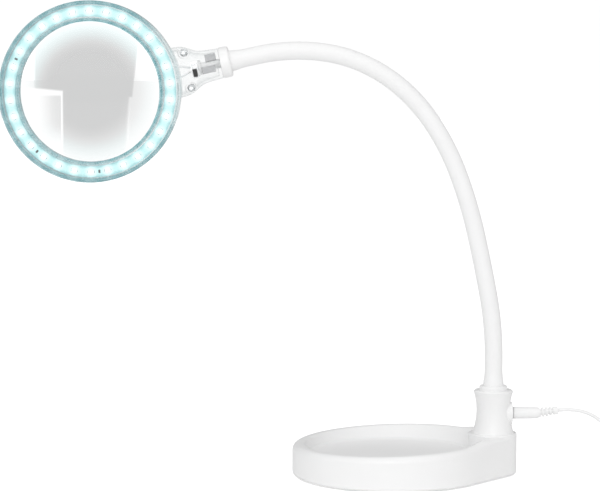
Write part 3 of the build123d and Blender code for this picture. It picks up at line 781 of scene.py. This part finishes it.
class RINGLAMP_OT_sleeve(bpy.types.Operator):
    """Draw the neck's soft sleeve, one length for each joint"""

    bl_idname = "ringlamp.sleeve"
    bl_label = "Sleeve"

    def execute(self, context):
        sizes = context.scene.ring_lamp_sizes
        arcs = neck_arcs()
        ends = [0.0]
        for arc in arcs:
            ends.append(ends[-1] + arc[3])
        total = ends[-1]
        middles = [(a + b) / 2 for a, b in zip(ends, ends[1:])]
        cuts = [0.0] + middles[1:-1] + [total]
        tree = tube_tree()
        wide = sleeve_end_radius / sizes.sleeve_radius
        spacing = 1 * MM
        for number, joint in enumerate(neck_joints):
            start, stop = cuts[number], cuts[number + 1]
            count = round((stop - start) / spacing) + 1
            stops = [start + (stop - start) * k / (count - 1) for k in range(count)]
            mesh = bpy.data.meshes.new("line")
            places = [neck_point(arcs, at) for at in stops]
            mesh.from_pydata(places, [(k, k + 1) for k in range(count - 1)], [])
            width = mesh.attributes.new("width", "FLOAT", "POINT")
            for k, at in enumerate(stops):
                near = max(0.0, 1 - min(at, total - at) / sizes.flare_length)
                width.data[k].value = 1 + (wide - 1) * near * near * (3 - 2 * near)
            name = f"sleeve_{number + 1}"
            piece = run_tree(
                add_object("line", mesh), tree, name,
                Radius=sizes.sleeve_radius, Sides=56, Material=finishes()["sleeve"],
            )
            piece = self.wall(piece, name, sizes.sleeve_wall)
            at = ends[number + 1]
            neck_point(arcs, at - sizes.soft_zone)
            neck_point(arcs, at + sizes.soft_zone)
            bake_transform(piece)
            nodes = [f"neck_sleeve_{number + 1}"]
            if number == 0:
                nodes.append("neck_sleeve_0")
            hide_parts(*nodes)
        return {"FINISHED"}

    def wall(self, piece, name, thickness):
        """Give the tube its wall, inwards, with crisp ends."""
        solid = piece.modifiers.new("Wall", "SOLIDIFY")
        solid.thickness = thickness
        solid.offset = -1
        piece = plain_mesh(piece, name)
        piece.data.shade_smooth()
        piece.data.set_sharp_from_angle(angle=math.radians(40))
        return piece


class RINGLAMP_OT_lamps(bpy.types.Operator):
    """Set the lamps round the lens, with their frames and solder"""

    bl_idname = "ringlamp.lamps"
    bl_label = "Lamps"

    def execute(self, context):
        sizes = context.scene.ring_lamp_sizes
        board_top = (head_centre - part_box("led_board")[0]).y
        tree = ring_tree()
        for name, shape, finish in (
            ("lamp_frames", self.frame, "lamp_frame"),
            ("lamp_faces", self.face, "lamp_face"),
            ("lamp_solder", self.solder, "solder"),
        ):
            source = add_object("source", shape(board_top))
            mesh = bpy.data.meshes.new("ring")
            piece = run_tree(
                add_object("ring", mesh), tree, name,
                Piece=source, Count=sizes.lamp_count, Circle_radius=sizes.lamp_circle,
                First_angle=math.pi / sizes.lamp_count, Centre=head_centre,
                Turn=head_turn.to_euler(), Material=finishes()[finish],
            )
            bpy.data.objects.remove(source)
            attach(piece, "head")
        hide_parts("leds")
        return {"FINISHED"}

    def frame(self, foot):
        """A lamp's white package with a shallow well."""
        width, length, height = 2.8 * MM, 3.5 * MM, 0.8 * MM
        bm = bmesh.new()
        bmesh.ops.create_cube(bm, size=1)
        bmesh.ops.scale(bm, vec=(width, length, height), verts=bm.verts)
        bmesh.ops.translate(bm, vec=(0, 0, foot + height / 2), verts=bm.verts)
        bmesh.ops.bevel(bm, geom=bm.edges[:], offset=0.12 * MM, segments=2, affect="EDGES")
        top = max(bm.faces, key=lambda face: (face.normal.z, face.calc_area()))
        bmesh.ops.inset_region(bm, faces=[top], thickness=0.25 * MM)
        bmesh.ops.inset_region(bm, faces=[top], thickness=0.15 * MM, depth=-0.12 * MM)
        return finished_mesh(bm, "frame")

    def face(self, foot):
        """The lit phosphor in the well, slightly domed."""
        half_width, half_length = 1.0 * MM, 1.32 * MM
        top = foot + 0.78 * MM
        # each ring's share of the outline and its rise over the edge; the last is the foot
        rings = [(0.001, 0.06), (0.45, 0.05), (0.85, 0.02), (1.0, 0.0), (1.0, -0.1)]
        sides = 20
        bm = bmesh.new()
        loops = []
        for share, rise in rings:
            loop = []
            for k in range(sides):
                angle = math.tau * k / sides
                x = half_width * share * math.cos(angle)
                y = half_length * share * math.sin(angle)
                loop.append(bm.verts.new((x, y, top + rise * MM)))
            loops.append(loop)
        bridge(bm, loops)
        bm.faces.new(loops[0])
        bm.faces.new(reversed(loops[-1]))
        bmesh.ops.recalc_face_normals(bm, faces=bm.faces)
        mesh = finished_mesh(bm, "face")
        mesh.shade_smooth()
        return mesh

    def solder(self, foot):
        """Two small fillets of solder, one at each end of a lamp."""
        half_sizes = (1.0 * MM, 0.45 * MM, 0.3 * MM)
        lamp_end = 1.9 * MM
        bm = bmesh.new()
        for side in (1, -1):
            blob = bmesh.ops.create_icosphere(bm, subdivisions=2, radius=1)["verts"]
            bmesh.ops.scale(bm, vec=half_sizes, verts=blob)
            bmesh.ops.translate(bm, vec=(0, side * lamp_end, foot), verts=blob)
        mesh = finished_mesh(bm, "solder")
        mesh.shade_smooth()
        return mesh


class RINGLAMP_OT_lens(bpy.types.Operator):
    """Grind the lens: two equal convex faces and a flat edge"""

    bl_idname = "ringlamp.lens"
    bl_label = "Lens"

    def execute(self, context):
        low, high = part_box("lens")
        half = (high.y - low.y) / 2
        edge = 1.0 * MM
        sag = half - edge
        curve = (lens_radius**2 + sag**2) / (2 * sag)
        sides, rings = 128, 16
        bm = bmesh.new()
        radii = [lens_radius * (k + 1) / rings for k in range(rings)]
        face = [(r, half - curve + math.sqrt(curve**2 - r**2)) for r in radii]
        outline = face + [(r, -z) for r, z in reversed(face)]
        verts = []
        for radius, height in outline:
            ring = []
            for k in range(sides):
                angle = math.tau * k / sides
                place = Vector((radius * math.cos(angle), radius * math.sin(angle), height))
                ring.append(bm.verts.new(head_centre + head_turn @ place))
            verts.append(ring)
        bridge(bm, verts)
        for ring, height in ((verts[0], half), (verts[-1], -half)):
            pole = bm.verts.new(head_centre + head_turn @ Vector((0, 0, height)))
            for k in range(sides):
                bm.faces.new((pole, ring[k], ring[k - 1]))
        bmesh.ops.recalc_face_normals(bm, faces=bm.faces)
        mesh = finished_mesh(bm, "lens_blank")
        mesh.shade_smooth()
        mesh.set_sharp_from_angle(angle=math.radians(30))
        mesh.materials.append(finishes()["lens"])
        piece = add_object("lens_blank", mesh)
        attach(piece, "head")
        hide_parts("lens")
        return {"FINISHED"}


class RINGLAMP_OT_finishes(bpy.types.Operator):
    """Give every modelled part its material"""

    bl_idname = "ringlamp.finishes"
    bl_label = "Finishes"

    def execute(self, context):
        wanted = {
            "white": ("base_shell", "bottom_cover", "column", "neck_collar"),
            "ferrule": ("ferrule", "swivel_spigot"),
            "plug": ("plug_body", "usb_plug"),
            "clear": ("front_shell", "rear_shell"),
            "board": ("led_board",),
            "chip": ("resistors",),
            "steel": ("cover_screws", "column_screws", "root_nut"),
            "bright": ("head_screws", "switch_body"),
            "clamp": ("friction_blocks",),
            "core": tuple(f"neck_core_{k}" for k in range(len(neck_joints) + 1)),
            "iron": ("ballast",),
            "black": ("switch_knob", "dc_jack"),
            "foam": ("foot_pad",),
            "wire": ("head_wires", "column_wires"),
            "contact": ("usb_contact", "plug_barrel"),
            "brass": ("jack_pin",),
        }
        for finish, names in wanted.items():
            for name in names:
                for slot in frame["nodes"][name].material_slots:
                    slot.material = finishes()[finish]
        return {"FINISHED"}


made_finishes = {}


def finishes():
    """Every finish by its short name, made once."""
    if not made_finishes:
        colours = bpy.context.scene.ring_lamp_colours
        white, glow = colours.white, colours.glow
        made_finishes.update(
            white=moulded("white_plastic", white),
            ferrule=moulded("ferrule_plastic", white, low=0.26, high=0.36),
            plug=moulded("plug_vinyl", white, grain=0.4 * MM, low=0.4, high=0.5),
            jacket=moulded("lead_vinyl", white, grain=0.5 * MM, low=0.38, high=0.48),
            sleeve=soft_sleeve("sleeve_rubber", colours.sleeve),
            # the clear plastic's third colour is the painted shade of its walls
            clear=clear_plastic("clear_plastic", colours.clear, (0.15, 0.46, 0.51)),
            lens=lens_glass("lens_glass"),
            # painted light: the board and the lamp packages carry a painted glow round each lamp
            board=lamp_board("lamp_board_painted_glow", glow, colours.glow_strength),
            lamp_frame=lamp_board("lamp_package_painted_glow", glow, colours.glow_strength),
            lamp_face=lamp_face("lamp_phosphor", 3.0 * colours.glow_strength),
            solder=metal("solder", (0.72, 0.74, 0.75), low=0.2, high=0.35),
            chip=moulded("chip_body", (0.02, 0.02, 0.02), grain=0.15 * MM),
            steel=metal("steel", (0.6, 0.6, 0.61)),
            bright=metal("bright_zinc", (0.9, 0.91, 0.92), low=0.3, high=0.4),
            clamp=metal("clamp_steel", (0.4, 0.4, 0.41), low=0.3, high=0.45),
            core=metal("core_steel", (0.5, 0.5, 0.51), low=0.35, high=0.5, stretch=(1, 6, 1)),
            iron=cast_iron("cast_plate"),
            black=moulded("black_plastic", (0.018, 0.018, 0.019), low=0.3, high=0.45),
            foam=foam("pad_foam"),
            wire=moulded("wire_vinyl", (0.93, 0.93, 0.93), grain=0.3 * MM),
            contact=metal("nickel", (0.72, 0.71, 0.68), low=0.12, high=0.22),
            brass=metal("brass", (0.75, 0.56, 0.24), low=0.15, high=0.25),
        )
    return made_finishes


class RINGLAMP_PT_panel(bpy.types.Panel):
    bl_label = "Ring lamp"
    bl_idname = "RINGLAMP_PT_panel"
    bl_space_type = "VIEW_3D"
    bl_region_type = "UI"
    bl_category = "Ring lamp"

    def draw(self, context):
        for operator in operators:
            self.layout.operator(operator.bl_idname)
        for group in (context.scene.ring_lamp_sizes, context.scene.ring_lamp_colours):
            for key in group.bl_rna.properties.keys():
                if key not in ("rna_type", "name"):
                    self.layout.prop(group, key)


operators = (
    RINGLAMP_OT_stage, RINGLAMP_OT_lead, RINGLAMP_OT_sleeve,
    RINGLAMP_OT_lamps, RINGLAMP_OT_lens, RINGLAMP_OT_finishes,
)
groups = (RingLampSizes, RingLampColours)


def register():
    for item in groups + operators + (RINGLAMP_PT_panel,):
        bpy.utils.register_class(item)
    bpy.types.Scene.ring_lamp_sizes = bpy.props.PointerProperty(type=RingLampSizes)
    bpy.types.Scene.ring_lamp_colours = bpy.props.PointerProperty(type=RingLampColours)


def unregister():
    del bpy.types.Scene.ring_lamp_colours
    del bpy.types.Scene.ring_lamp_sizes
    for item in reversed(groups + operators + (RINGLAMP_PT_panel,)):
        bpy.utils.unregister_class(item)


def main():
    register()
    bpy.ops.ringlamp.stage()
    bpy.ops.ringlamp.lead()
    bpy.ops.ringlamp.sleeve()
    bpy.ops.ringlamp.lamps()
    bpy.ops.ringlamp.lens()
    bpy.ops.ringlamp.finishes()


if __name__ == "__main__":
    main()
